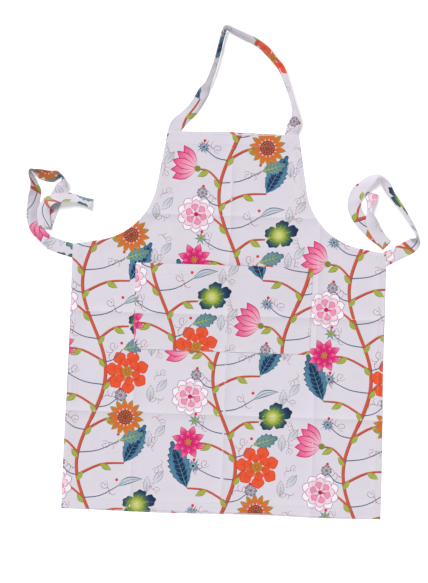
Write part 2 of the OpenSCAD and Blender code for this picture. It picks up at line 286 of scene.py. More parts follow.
class Area:
    """A painted area of cloth. Its colours run out from its origin ("round") or out from its own X
    axis ("side"), and the last is reached at the distance reach."""

    def __init__(self, points, *colours, mode="round", reach=1.0, origin=(0.0, 0.0), angle=0.0):
        self.points = np.array(points, float)
        self.colours = np.array(colours)
        self.mode = mode
        self.reach = reach
        self.origin = np.array(origin, float)
        self.angle = angle

    def moved(self, x, y, angle=0.0, scale=1.0):
        return Area(
            turned(self.points, angle, x, y, scale),
            *self.colours,
            mode=self.mode,
            reach=self.reach * scale,
            origin=turned([self.origin], angle, x, y, scale)[0],
            angle=self.angle + angle,
        )

    def paint(self, where):
        own = turned(where - self.origin, -self.angle)
        distance = {
            "round": np.linalg.norm(own, axis=1),
            "side": np.abs(own[:, 1]),
        }[self.mode]
        t = np.clip(distance / self.reach, 0, 1) * (len(self.colours) - 1)
        stops = np.arange(len(self.colours))
        return np.column_stack([np.interp(t, stops, self.colours[:, k]) for k in range(3)])


def placed(motif, x, y, angle=0.0, scale=1.0):
    return [area.moved(x, y, angle, scale) for area in motif]


def radiating(make, count, radius=0.0, start=0.0):
    """Several copies of a motif that point away from the origin."""
    out = []
    for i in range(count):
        angle = start + 360.0 * i / count
        out += placed(make(), radius * cos(radians(angle)), radius * sin(radians(angle)), angle)
    return out


# ---- leaves and flowers of the print, each from its own origin ----


def veins(length, reach, count, colour, width=0.9, lean=0.75):
    """A midrib along +X with side veins that lean towards the tip."""
    out = [Area(stroke([[0, 0], [length, 0]], 2.2 * width, 0.5 * width), colour)]
    for i in range(count):
        x = length * (0.16 + 0.68 * i / count)
        swell = reach * sin(pi * (0.22 + 0.62 * i / count))
        for side in (-1, 1):
            tip = [x + lean * swell, side * swell]
            middle = [x + 0.35 * lean * swell, side * swell * 0.55]
            out.append(Area(stroke([[x, 0], middle, tip], width, 0.4 * width, 2), colour))
    return out


def rays(count, inner, outer, width, colour, start=0.0, sweep=360.0):
    """Thin strokes that run out from the origin."""
    out = []
    for i in range(count):
        way = along(start + sweep * i / count)
        reach = outer * (0.82 + 0.18 * sin(2.3 * i))
        out.append(Area(stroke([inner * way, reach * way], width, 0.5 * width, 2), colour))
    return out


def blue_leaf():
    """Toothed blue leaf, darker along its middle."""
    return [
        Area(blade(96, 46, 9, 0.2), NAVY),
        Area(blade(94, 42.5, 9, 0.2), TEAL, STEEL, mode="side", reach=24),
        Area(blade(84, 24, 7, 0.3), NAVY, DEEP, mode="side", reach=13),
        *veins(78, 15, 6, STEEL, 0.8),
    ]


def lobed_leaf():
    """Round-lobed leaf, lime at its heart and navy at its rim."""
    heart = (31.0, 0.0)
    return [
        Area(lobed(74, 62), NAVY),
        Area(lobed(71, 58.5), CREAM, LIME, GREEN, DEEP, NAVY, reach=38, origin=heart).moved(1.5, 0),
        *veins(60, 19, 4, LIME, 0.9),
    ]


def sage_leaf():
    return [
        Area(blade(58, 34, 6, 0.24, fullest=0.5), DEEP),
        Area(blade(56, 31, 6, 0.24, fullest=0.5), SAGE, STEEL, mode="side", reach=16),
        *veins(48, 11, 4, LIME, 0.9),
    ]


def small_leaf(length, width, light, dark):
    return [
        Area(blade(length, width), dark),
        Area(blade(0.94 * length, 0.82 * width), light, dark, mode="side", reach=0.6 * width),
        Area(stroke([[0, 0], [0.85 * length, 0]], 1.3, 0.5, 2), dark),
    ]


def lance_leaf(length, width, bend):
    rim = Area(blade(length, width, bend=bend), SLATE)
    inside = Area(blade(0.96 * length, 0.74 * width, bend=bend), PALE_BLUE, MIST, reach=length)
    rib = stroke([[0, 0], [0.5 * length, bend], [0.9 * length, 0.2 * bend]], 1.4, 0.5)
    return [rim, inside, Area(rib, SLATE)]


def ghost_leaf(length, width):
    """Outlined leaf with hardly any colour inside."""
    rim = Area(blade(length, width, 6, 0.25), GREY)
    inside = Area(blade(0.95 * length, 0.84 * width, 6, 0.25), MIST, GROUND, reach=length)
    return [rim, inside.moved(0.02 * length, 0)] + veins(0.8 * length, 0.25 * width, 4, GREY, 0.6)


def star_flower():
    """Magenta flower with two rings of pointed petals."""
    def petal():
        return [
            Area(blade(30, 17, fullest=0.45), CERISE),
            Area(blade(28.4, 14.2, fullest=0.45), CERISE, MAGENTA, PINK, reach=30),
        ]

    return [
        *radiating(petal, 8, 8),
        *placed(radiating(petal, 8, 8, 22.5), 0, 0, 0, 0.66),
        Area(disc(7.5), CERISE),
        Area(disc(6.2), GOLD),
    ]


def daisy(radius):
    return [
        Area(rosette(radius, 9, 0.78, False), SLATE),
        Area(rosette(0.9 * radius, 9, 0.76, False), MAUVE, GREY, reach=radius),
        *rays(14, 0.3 * radius, 0.95 * radius, 1.0, WHITE),
        *rays(14, 0.3 * radius, 0.9 * radius, 0.8, SLATE, 13),
        Area(disc(0.26 * radius), MAUVE),
    ]


def cornflower(radius):
    return [
        *rays(9, 0.4 * radius, 1.3 * radius, 1.3, SLATE, 10),
        Area(rosette(radius, 11, 0.42), SLATE, TEAL, reach=radius),
        Area(turned(rosette(0.8 * radius, 9, 0.4), 15), STEEL, TEAL, reach=radius),
        *rays(12, 0.2 * radius, 0.7 * radius, 1.2, PALE_BLUE, 6),
        Area(disc(0.2 * radius), DEEP),
    ]


def buttercup(radius):
    return [
        Area(rosette(radius, 7, 0.4), SLATE, STEEL, reach=radius),
        *rays(14, 0.3 * radius, 0.8 * radius, 0.9, PALE_BLUE, 6),
        Area(turned(rosette(0.5 * radius, 6, 0.6), 20), LIME, OLIVE, reach=0.5 * radius),
        Area(disc(0.16 * radius), OLIVE),
    ]


def bloom():
    """Large orange flower with two rings of round petals."""
    def petal():
        return [
            Area(blade(36, 29, fullest=0.6), RED),
            Area(blade(34.4, 26, fullest=0.6), RED, ORANGE, ORANGE, reach=36),
            *rays(3, 12, 28, 1.2, RED, -12, 36),
        ]

    return [
        *radiating(petal, 7, 13),
        *placed(radiating(petal, 6, 7, 25), 0, 0, 0, 0.72),
        Area(rosette(12, 9, 0.84, False), OLIVE),
        Area(rosette(10.6, 9, 0.84, False), GOLD),
        *rays(9, 3, 9, 1.3, DARK_RED),
    ]


def peony():
    """Round pink flower with three even rings of petals, pale at its rim."""
    def petal(fill, edge):
        return [
            Area(blade(25, 20, fullest=0.68), PLUM),
            Area(blade(23.8, 18, fullest=0.68), fill, edge, edge, reach=24),
        ]

    return [
        *radiating(lambda: petal(BLUSH, WHITE), 10, 17),
        *placed(radiating(lambda: petal(PINK, BLUSH), 8, 11, 20), 0, 0, 0, 0.92),
        *placed(radiating(lambda: petal(MAGENTA, PINK), 6, 5), 0, 0, 0, 0.8),
        Area(disc(5), CERISE),
    ]


def cup_flower():
    """Pink flower whose petals open from the origin along +X."""
    out = []
    for angle in (-40, 40, -21, 21, 0):
        petal = [
            Area(blade(60, 24, fullest=0.55), CERISE),
            Area(blade(58, 20.5, fullest=0.55), BLUSH, PINK, MAGENTA, reach=60),
            Area(stroke([[6, 0], [44, 0]], 1.8, 0.7, 2), CERISE),
        ]
        out += placed(petal, 0, 0, angle)
    return out + [Area(disc(7), OLIVE)]


def sunflower():
    """Gold and orange petals about a brown heart with pale seeds."""
    def petal():
        return [
            Area(blade(30, 13, fullest=0.5), OLIVE),
            Area(blade(28.6, 11, fullest=0.5), ORANGE, GOLD, reach=28),
        ]

    return [
        *radiating(petal, 14, 14),
        Area(disc(18), BARK_DARK),
        *[Area(disc(1.5), GOLD).moved(r * cos(radians(a)), r * sin(radians(a)))
          for r, count in ((13, 14), (7.5, 8)) for a in np.arange(count) * 360 / count],
    ]


def sprig():
    """Faint thin scrolls between the larger flowers."""
    scroll = [[0, 0], [8, 7], [17, 4], [16, -3], [10, -2]]
    return [
        Area(stroke(scroll, 1.2, 0.8), MAUVE),
        Area(stroke([[0, 0], [-9, 8], [-18, 8], [-20, 2]], 1.2, 0.8), MAUVE),
        Area(stroke([[-4, 3], [-3, 14], [3, 16]], 1.1, 0.7, 2), MAUVE),
        Area(stroke([[2, 2], [6, -7], [14, -10]], 1.0, 0.7, 2), MAUVE),
        Area(disc(1.3), BARK).moved(-9, 9),
        Area(disc(1.3), BARK).moved(9, -2),
    ]


def branch(points, start, end):
    """Stem with a darker lower side."""
    low = np.array(points, float) + [1.0, -1.2]
    return [
        Area(stroke(low, start, 0.8 * end), BARK_DARK),
        Area(stroke(points, 0.86 * start, 0.7 * end), BARK),
        Area(disc(0.36 * start), BARK).moved(*points[0]),
    ]


# ---- the print's repeat ----

# The print is a swaying vine with a branch to each side in turn, laid out by formula
REPEAT = [(292.0, 200.0), (0.0, 400.0)]
VINE_SWAY = 28.0
BRANCH_REACH = 76.0
BRANCH_RISE = 30.0
POCKET_OFFSET = (150.0, 60.0)
NECK_OFFSET = (40.0, 96.0)
LEFT_OFFSET = (210.0, 20.0)
RIGHT_OFFSET = (90.0, 170.0)

# What each branch bears, from the bottom of the repeat to its top: the motif, how far it turns
# from the branch's direction and its scale
HEADS = [
    (blue_leaf, 52, 1.12),
    (bloom, 0, 1.0),
    (star_flower, 0, 1.0),
    (lobed_leaf, 0, 1.0),
    (peony, 0, 1.0),
    (blue_leaf, 44, 1.0),
    (cup_flower, 0, 1.0),
    (sunflower, 0, 0.94),
]
# Small motifs beside the vine, in the same order
FILLERS = [
    lambda: daisy(14),
    lambda: cornflower(16),
    sage_leaf,
    lambda: buttercup(15),
    lambda: lance_leaf(58, 15, 6),
    lambda: daisy(12),
    sage_leaf,
    lambda: cornflower(14),
]


def vine_x(y):
    return VINE_SWAY * sin(2 * pi * y / REPEAT[1][1])


def one_repeat():
    height = REPEAT[1][1]
    pitch = height / len(HEADS)
    areas = branch([[vine_x(y), y] for y in np.linspace(0, height, 13)], 8, 8)
    for i, (make, turn, scale) in enumerate(HEADS):
        side = 1 if i % 2 else -1
        y = pitch * (i + 0.5)
        x = vine_x(y)
        tip = [side * BRANCH_REACH, y + BRANCH_RISE]
        bend = [(x + tip[0]) / 2, y + 0.85 * BRANCH_RISE]
        outward = 18 if side > 0 else 162
        areas += branch([[x, y], bend, tip], 5.5, 3.5)
        areas += placed(small_leaf(28, 13, LIME, OLIVE), *bend, outward - side * 46)
        areas += placed(small_leaf(24, 11, LIME, OLIVE), x, y - 12, outward + side * 38)
        filler = [-side * 64, y + 28]
        areas.append(Area(stroke([[x, y], [(x + filler[0]) / 2, y + 6], filler], 2.6, 1.8), SLATE))
        areas += placed(FILLERS[i](), *filler, 180 - outward)
        areas += placed(sprig(), side * 44, y - 26, 30 * i)
        areas += placed(ghost_leaf(36, 19), side * 128, y - 34, outward + 70)
        areas += placed(sprig(), side * 150, y + 24, 50 * i, 0.8)
        areas.append(Area(disc(3.4), RED).moved(side * 62, y - 8))
        areas += placed(make(), *tip, outward + side * turn, scale)
    return areas


def print_over(low, high, offset=(0.0, 0.0)):
    """All of the print's areas that touch the box from low to high."""
    base = one_repeat()
    out = []
    for i in range(-3, 4):
        for j in range(-4, 5):
            dx = i * REPEAT[0][0] + j * REPEAT[1][0] + offset[0]
            dy = i * REPEAT[0][1] + j * REPEAT[1][1] + offset[1]
            for area in base:
                least = area.points.min(axis=0) + [dx, dy]
                most = area.points.max(axis=0) + [dx, dy]
                if (most > low).all() and (least < high).all():
                    out.append(area.moved(dx, dy))
    return out


# ---- cutting flat cloth ----


def inside(outline, points):
    """Which of the points are inside the outline."""
    a = outline
    b = np.roll(outline, -1, axis=0)
    found = np.zeros(len(points), bool)
    for (ax, ay), (bx, by) in zip(a, b):
        if ay == by:
            continue
        spans = (ay > points[:, 1]) != (by > points[:, 1])
        at = ax + (points[:, 1] - ay) / (by - ay) * (bx - ax)
        found ^= spans & (points[:, 0] < at)
    return found


def closed(outline):
    """The outline as a line that ends where it starts."""
    return np.vstack([outline, outline[:1]])


def signed_area(outline):
    x, y = outline[:, 0], outline[:, 1]
    return np.sum(x * np.roll(y, -1) - y * np.roll(x, -1)) / 2


def anticlockwise(outline):
    outline = np.array(outline, float)
    return outline if signed_area(outline) > 0 else outline[::-1]


def line_distance(line, points):
    """Distance from each point to a line of several parts."""
    least = np.full(len(points), np.inf)
    for a, b in zip(line[:-1], line[1:]):
        run = b - a
        t = np.clip((points - a) @ run / (run @ run), 0, 1)
        least = np.minimum(least, np.linalg.norm(points - a - t[:, None] * run, axis=1))
    return least


def edge_distance(outline, points):
    """Distance from each point to the outline."""
    return line_distance(closed(outline), points)


def dense(outline, step):
    """The outline with more points along its long sides."""
    out = []
    for a, b in zip(outline, np.roll(outline, -1, axis=0)):
        count = max(1, round(np.linalg.norm(b - a) / step))
        out += [a + (b - a) * i / count for i in range(count)]
    return np.array(out)


class Cut:
    """A flat piece of cloth as triangles, with the colour of the print at their corners."""

    def __init__(self, flat, triangles, colours):
        self.flat = flat
        self.triangles = triangles
        self.colours = colours

    def rim(self):
        """The edges that belong to one triangle only, in the direction of that triangle."""
        n = len(self.flat)
        edges = np.vstack([self.triangles[:, [k, (k + 1) % 3]] for k in range(3)]).astype(np.int64)
        backward = edges[:, 1] * n + edges[:, 0]
        return edges[~np.isin(edges[:, 0] * n + edges[:, 1], backward)]


def cut_cloth(outline, grid, areas=(), holes=(), lines=()):
    """Triangles of the cloth inside the outline, cut along every printed area's edge."""
    outline = dense(anticlockwise(outline), RIM_STEP)
    loops = [outline, *map(anticlockwise, holes), *[anticlockwise(a.points) for a in areas]]
    grid = grid[inside(outline, grid)]
    points, faces, edges = [], [], []
    for loop in loops:
        first = len(points)
        points += [Vector(p) for p in loop]
        faces.append(list(range(first, first + len(loop))))
    for line in lines:
        first = len(points)
        points += [Vector(p) for p in line]
        edges += [(first + i, first + i + 1) for i in range(len(line) - 1)]
    points += [Vector(p) for p in grid]
    made = delaunay_2d_cdt(points, edges, faces, 1, 1e-4, True)
    flat = np.array([list(p) for p in made[0]])
    kept, top = [], []
    for corners, found in zip(made[2], made[5]):
        if 0 in found and not any(1 <= k <= len(holes) for k in found):
            kept.append(corners)
            top.append(max(found) - 1 - len(holes))
    triangles = np.array(kept)
    top = np.array(top)
    used, triangles = np.unique(triangles, return_inverse=True)
    triangles = triangles.reshape(-1, 3)
    flat = flat[used]
    a, b, c = (flat[triangles[:, k]] for k in range(3))
    double = (b[:, 0] - a[:, 0]) * (c[:, 1] - a[:, 1]) - (b[:, 1] - a[:, 1]) * (c[:, 0] - a[:, 0])
    triangles[double < 0] = triangles[double < 0][:, ::-1]
    colours = np.tile(GROUND, (len(triangles), 3, 1))
    for k, area in enumerate(areas):
        own = top == k
        if own.any():
            where = flat[triangles[own]].reshape(-1, 2)
            colours[own] = area.paint(where).reshape(-1, 3, 3)
    return Cut(flat, triangles, colours)


def plain_reverse(cut, grid, lines=()):
    """Coarser triangles for the back of a cut piece, with the same points along its rim."""
    ahead = dict(cut.rim())
    first = next(iter(ahead))
    loop = [first]
    while ahead[loop[-1]] != first:
        loop.append(ahead[loop[-1]])
    return cut_cloth(cut.flat[loop], grid, lines=lines)


def lattice(low, high, step, extra_x=(), extra_y=()):
    """Points of a grid over a box, in staggered rows, with more of them along the extra lines."""
    ys = np.arange(low[1] + step / 2, high[1], step)
    rows = []
    for i, y in enumerate(ys):
        xs = np.arange(low[0] + step * (0.5 if i % 2 else 1), high[0], step)
        rows.append(np.column_stack([xs, np.full(len(xs), y)]))
    for x in extra_x:
        rows.append(np.column_stack([np.full(len(ys), x), ys]))
    for y in extra_y:
        xs = np.arange(low[0] + step / 2, high[0], step)
        rows.append(np.column_stack([xs, np.full(len(xs), y)]))
    return np.vstack(rows)


def smooth(low, high, value):
    t = np.clip((value - low) / (high - low), 0, 1)
    return t * t * (3 - 2 * t)


# ---- meshes ----


def colour_mesh(mesh, colours, flat):
    """Gives each face corner its colour, and its place on the flat cloth as its UV, in metres."""
    paint = mesh.color_attributes.new("Print", "BYTE_COLOR", "CORNER")
    full = np.ones((len(colours), 4), np.float32)
    full[:, :3] = colours
    paint.data.foreach_set("color", full.ravel())
    uv = mesh.uv_layers.new(name="Cloth")
    uv.data.foreach_set("uv", (flat * MM).astype(np.float32).ravel())


def show(mesh, name, material):
    obj = bpy.data.objects.new(name, mesh)
    bpy.context.scene.collection.objects.link(obj)
    mesh.materials.append(material)
    return obj


def shell(name, cut, lay, top, bottom, material, back=0.28, reverse=None):
    """Closed cloth mesh. top and bottom are the heights of its two faces, and lay puts a point of
    the flat cloth and a height into the frame. back is how much of the print shows on its back,
    and reverse is the back's own cut, without the print."""
    n = len(cut.flat)
    front, rim = cut.triangles, cut.rim()
    if reverse is None:
        reverse = cut
        under = np.arange(n)
    else:
        under = np.zeros(n, int)
        for i in rim[:, 0]:
            under[i] = np.argmin(np.abs(reverse.flat - cut.flat[i]).sum(axis=1))
    a, b = rim[:, 0], rim[:, 1]
    low_a, low_b = under[a] + n, under[b] + n
    sides = np.vstack([np.column_stack([b, a, low_a]), np.column_stack([b, low_a, low_b])])
    triangles = np.vstack([front, reverse.triangles[:, ::-1] + n, sides])
    faint = GROUND + back * (reverse.colours[:, ::-1] - GROUND)
    plain = np.tile(GROUND, (len(sides), 3, 1))
    colours = np.vstack([cut.colours, faint, plain]).reshape(-1, 3)
    places = np.vstack([lay(cut.flat, top), lay(reverse.flat, bottom)])
    mesh = bpy.data.meshes.new(name)
    mesh.from_pydata(places, [], triangles)
    mesh.shade_smooth()
    mesh.set_sharp_from_angle(angle=radians(55))
    colour_mesh(mesh, colours, np.vstack([cut.flat, reverse.flat])[triangles].reshape(-1, 2))
    return show(mesh, name, material)


# Profile of one stitch: how far along it each ring is, and the ring's size
STITCH_RINGS = [(-0.5, 0.35), (-0.3, 0.85), (0.0, 1.0), (0.3, 0.85), (0.5, 0.35)]
STITCH_SIDES = 6
STITCH_W = 0.4
STITCH_H = 0.34


def stitches(name, rows, material):
    """Separate raised stitches. Each row is (places, normals): where its stitches begin and end."""
    verts, faces = [], []
    turn = 2 * pi / STITCH_SIDES
    for places, normals in rows:
        for a, b, up in zip(places[:-1], places[1:], normals):
            run = b - a
            side = np.cross(up, run)
            side = side / np.linalg.norm(side)
            first = len(verts)
            for at, size in STITCH_RINGS:
                centre = (a + b) / 2 + run * at * 0.9
                for k in range(STITCH_SIDES):
                    across = side * (STITCH_W / 2 * size * cos(k * turn) * MM)
                    verts.append(centre + across + up * (STITCH_H / 2 * size * sin(k * turn) * MM))
            for ring in range(len(STITCH_RINGS) - 1):
                for k in range(STITCH_SIDES):
                    p = first + ring * STITCH_SIDES + k
                    q = first + ring * STITCH_SIDES + (k + 1) % STITCH_SIDES
                    faces.append((p, q, q + STITCH_SIDES, p + STITCH_SIDES))
            last = first + (len(STITCH_RINGS) - 1) * STITCH_SIDES
            faces.append(tuple(first + k for k in reversed(range(STITCH_SIDES))))
            faces.append(tuple(last + k for k in range(STITCH_SIDES)))
    mesh = bpy.data.meshes.new(name)
    mesh.from_pydata(np.array(verts), [], faces)
    mesh.shade_smooth()
    return show(mesh, name, material)


def even_steps(line, step):
    """The points of a flat line at even distances of about step."""
    line = np.array(line, float)
    run = np.concatenate([[0], np.cumsum(np.linalg.norm(np.diff(line, axis=0), axis=1))])
    at = np.linspace(0, run[-1], max(2, round(run[-1] / step) + 1))
    return np.column_stack([np.interp(at, run, line[:, k]) for k in range(2)])


def surface_of(cloth):
    """The faces of a cloth mesh, for stitches to rest on."""
    mesh = cloth.data
    return BVHTree.FromPolygons([v.co for v in mesh.vertices], [p.vertices for p in mesh.polygons])


def sewn_row(line, lay, surface):
    """One row of stitches along a flat line, on the face of some cloth."""
    places, normals = [], []
    for point in lay(even_steps(line, STITCH), 0.0):
        place, normal, _, _ = surface.find_nearest(Vector(point))
        places.append(place + normal * (THREAD_UP * MM))
        normals.append(normal)
    return np.array(places), np.array(normals)


def tack_lines(x, y):
    """The stitched square about a point, and its two diagonals."""
    h = TACK / 2
    square = [[x - h, y - h], [x + h, y - h], [x + h, y + h], [x - h, y + h], [x - h, y - h]]
    return [square, [[x - h, y - h], [x + h, y + h]], [[x - h, y + h], [x + h, y - h]]]


# ---- the apron's outline, as in the CAD model ----


def leftward(d):
    return np.array([-d[1], d[0]])


def meet(p, d, q, e):
    """Where the line through p along d meets the line through q along e."""
    gap = q - p
    return p + d * (gap[0] * e[1] - gap[1] * e[0]) / (d[0] * e[1] - d[1] * e[0])


SIDE_DIR = np.array([(WAIST_W - HEM_W) / 2, SIDE_H]) / np.hypot((WAIST_W - HEM_W) / 2, SIDE_H)
DIP_DIR = along(180 - ARM_DIP)
BIB_DIR = along(90 + BIB_FLARE)
ARM_STEPS = 28


def side_at(inset):
    return np.array([HEM_W / 2, 0]) + leftward(SIDE_DIR) * inset


def dip_at(inset):
    return np.array([WAIST_W / 2, SIDE_H]) + leftward(DIP_DIR) * inset


def bib_at(inset):
    return np.array([BIB_W / 2, BODY_H]) + leftward(BIB_DIR) * inset


def level(y):
    return np.array([0.0, y])


def side_point(inset, y):
    return meet(side_at(inset), SIDE_DIR, level(y), np.array([1.0, 0.0]))


def bib_point(inset, y):
    return meet(bib_at(inset), BIB_DIR, level(y), np.array([1.0, 0.0]))


def corner(inset, dip_inset):
    return meet(side_at(inset), SIDE_DIR, dip_at(dip_inset), DIP_DIR)


def armhole(inset):
    """Arc from the side seam up to the bib, which touches both lines."""
    r = ARM_R + inset
    far = dip_at(inset) - leftward(DIP_DIR) * r
    near = bib_at(inset) - leftward(BIB_DIR) * r
    middle = meet(far, DIP_DIR, near, BIB_DIR)
    angles = np.linspace(270 - ARM_DIP, 180 + BIB_FLARE, ARM_STEPS + 1)
    return [middle + r * along(angle) for angle in angles]


def right_edge(inset, low, high, side_inset=None):
    """Points up the right-hand edge between two heights."""
    side_inset = inset if side_inset is None else side_inset
    return [side_point(side_inset, low), corner(side_inset, inset), *armhole(inset),
            bib_point(inset, high)]


def mirrored(points):
    return [np.array([-p[0], p[1]]) for p in reversed(points)]


def whole_outline(inset):
    right = right_edge(inset, inset, BODY_H - inset)
    return np.array(right + mirrored(right))


OUTLINE = whole_outline(0)


# ---- how the cloth lies ----

UPRIGHT_FOLDS = (-200.0, 0.0, 196.0)
LEVEL_FOLDS = (217.0, 436.0, 654.0)
UPRIGHT_RISE = 2.4
LEVEL_RISE = 3.0
FOLD_REACH = 8


def tent(distance, height, width):
    """Soft ridge along a pressed fold."""
    return height * np.exp(-np.abs(distance) / width)


def swell(u, v):
    """Slow rise and fall of cloth that isn't pressed flat."""
    slow = np.sin(u / 61 + 0.7) * np.sin(v / 83 - 0.4) + 0.6 * np.sin(u / 37 - v / 52 + 1.9)
    return 0.9 * (slow + 1.6) / 3.2


def turning_rise(v, edge):
    """Height of the turnings under the panel."""
    sides = 1 - smooth(SIDE_TURN - 1, SIDE_TURN + 14, edge)
    top = smooth(BODY_H - BIB_TURN - 16, BODY_H - BIB_TURN + 1, v)
    bottom = 1 - smooth(BOTTOM_TURN - 1, BOTTOM_TURN + 14, v)
    return FOLD_T * np.maximum(np.maximum(sides, top), bottom)


def pucker(u, v, edge):
    """Small gathers where the turnings are sewn."""
    near = np.exp(-((edge - SIDE_TURN + SEW_IN) / 6) ** 2)
    near = near + np.exp(-((BODY_H - BIB_TURN + SEW_IN - v) / 6) ** 2)
    near = near + np.exp(-((v - BOTTOM_TURN + SEW_IN) / 6) ** 2)
    return 0.22 * near * (1 + np.sin(u / 2.6 + np.sin(v / 9)) * np.sin(v / 3.1 + np.sin(u / 8)))


def panel_face(u, v):
    """Height of the panel's face above the floor."""
    edge = edge_distance(OUTLINE, np.column_stack([u, v]))
    settle = smooth(0, 60, edge)
    rise = turning_rise(v, edge) + pucker(u, v, edge) + swell(u, v) * (0.35 + 0.65 * settle)
    for x in UPRIGHT_FOLDS:
        rise = rise + tent(u - x, UPRIGHT_RISE, FOLD_REACH)
    for y in LEVEL_FOLDS:
        rise = rise + tent(v - y, LEVEL_RISE, FOLD_REACH)
    return rise + CLOTH_T


def drift(u, v):
    """How far the cloth has moved sideways from its flat pattern."""
    x = 0.8 * np.sin(v / 70) * np.sin(u / 240)
    peak = 2.4 * np.exp(-np.abs(u) / 16) * smooth(BODY_H - 90, BODY_H, v)
    hang = 1.3 * np.sin(u / 58 + 0.6) * (1 - smooth(0, 140, v))
    return x, peak + hang


def lay_panel(flat, height):
    u, v = flat[:, 0], flat[:, 1]
    x, y = drift(u, v)
    return np.column_stack([u + x, v + y, panel_face(u, v) + height]) * MM


def bulge(u, v):
    """How far the pocket stands off the panel."""
    across = np.clip((u - POCKET_X) / POCKET_W * 2 - 1, -1, 1)
    up = np.clip((v - POCKET_Y) / POCKET_H, 0, 1)
    return POCKET_RISE * (1 - across**4) * up**1.5


def lay_pocket(flat, height):
    u, v = flat[:, 0], flat[:, 1]
    return lay_panel(flat, FOLD_T + bulge(u, v) + height)


# ---- straps ----

STRAP_STEPS = 10


class Strap:
    """A strap along a route: rows of its middle line and of the way from there to its left edge."""

    def __init__(self, route, x, y, creases):
        self.creases = creases
        middles, halves = [], []
        last = len(route) - 1
        for i, point in enumerate(route):
            back, ahead = route[max(i - 1, 0)], route[min(i + 1, last)]
            heading = atan2(ahead[1] - back[1], ahead[0] - back[0])
            edge = radians(point[4]) if len(point) > 4 else heading + pi / 2
            tilt = radians(point[3])
            half = STRAP_W / 2 * cos(tilt)
            rise = STRAP_W / 2 * sin(tilt)
            lift = point[2] + abs(rise) + FOLD_T / 2 * abs(cos(tilt))
            middles.append([point[0] + x, point[1] + y, lift])
            halves.append([half * cos(edge), half * sin(edge), rise])
        self.middle = curve(middles, STRAP_STEPS)
        self.half = curve(halves, STRAP_STEPS)
        low = FOLD_T / 2 + np.abs(self.half[:, 2]) - self.middle[:, 2]
        self.middle[:, 2] += np.maximum(low, 0)
        steps = np.linalg.norm(np.diff(self.middle, axis=0), axis=1)
        self.run = np.concatenate([[0], np.cumsum(steps)])
        self.length = self.run[-1]
        normal = np.cross(np.gradient(self.middle, axis=0), self.half)
        self.normal = normal / np.linalg.norm(normal, axis=1)[:, None]

    def lay(self, flat, height):
        """Flat points are (distance along the strap, distance to the left of its middle)."""
        s, share = flat[:, 0], flat[:, 1] / (STRAP_W / 2)
        pick = [
            np.column_stack([np.interp(s, self.run, rows[:, k]) for k in range(3)])
            for rows in (self.middle, self.half, self.normal)
        ]
        relief, kept = self.relief(s, share)
        out = pick[2] * (height + relief)[:, None]
        places = pick[0] + pick[1] * (share * kept)[:, None] + out
        places[:, 2] = np.maximum(places[:, 2], CLOTH_T + height)
        return places * MM

    def relief(self, s, share):
        """Height of the creases and wrinkles, and the share of the width that is left."""
        height = 0.4 * np.sin(s / 5.3 + 2 * np.sin(s / 31) + 1.2 * share) * (1 - share**2)
        kept = np.ones_like(s)
        for start, end, place, crest, taken in self.creases:
            side = np.where(share > place, 1 - place, 1 + place)
            roof = 1 - np.sqrt(((share - place) / side) ** 2 + 0.01)
            shown = smooth(start, start + 30, s) * (1 - smooth(end - 30, end, s))
            height = height + crest * roof * shown
            kept = kept * (1 - taken * shown)
        return height, kept

    def lay_face(self, flat, height):
        return self.lay(flat, CLOTH_T + height)


# ---- materials ----


def node(tree, kind, **settings):
    made = tree.nodes.new(kind)
    for key, value in settings.items():
        if key in made.inputs:
            made.inputs[key].default_value = value
        else:
            setattr(made, key.lower(), value)
    return made


def product(tree, first, second):
    made = node(tree, "ShaderNodeMath", operation="MULTIPLY")
    tree.links.new(first, made.inputs[0])
    tree.links.new(second, made.inputs[1])
    return made


def ranged(tree, value, low, high):
    """A value from 0 to 1 moved to the range from low to high."""
    made = tree.nodes.new("ShaderNodeMapRange")
    made.inputs["To Min"].default_value = low
    made.inputs["To Max"].default_value = high
    tree.links.new(value, made.inputs["Value"])
    return made


def bump(tree, height, strength, distance):
    made = node(tree, "ShaderNodeBump", Strength=strength, Distance=distance)
    tree.links.new(height, made.inputs["Height"])
    return made


def woven(tree, pitch):
    """Height of a plain weave, from the place on the flat cloth."""
    cloth = node(tree, "ShaderNodeUVMap", UV_Map="Cloth")
    scale = 2 * pi / 20 / (pitch * MM)
    bands = []
    for way in ("X", "Y"):
        wave = node(tree, "ShaderNodeTexWave", Scale=scale, Distortion=0.4)
        wave.bands_direction = way
        wave.inputs["Detail"].default_value = 1.0
        tree.links.new(cloth.outputs["UV"], wave.inputs["Vector"])
        bands.append(wave)
    return cloth, product(tree, bands[0].outputs["Fac"], bands[1].outputs["Fac"])


def new_material(name, **settings):
    """A new material, its nodes and its shader, whose inputs are named with _ for a space."""
    material = bpy.data.materials.new(name)
    material.use_nodes = True
    shader = material.node_tree.nodes["Principled BSDF"]
    for key, value in settings.items():
        shader.inputs[key.replace("_", " ")].default_value = value
    return material, material.node_tree, shader


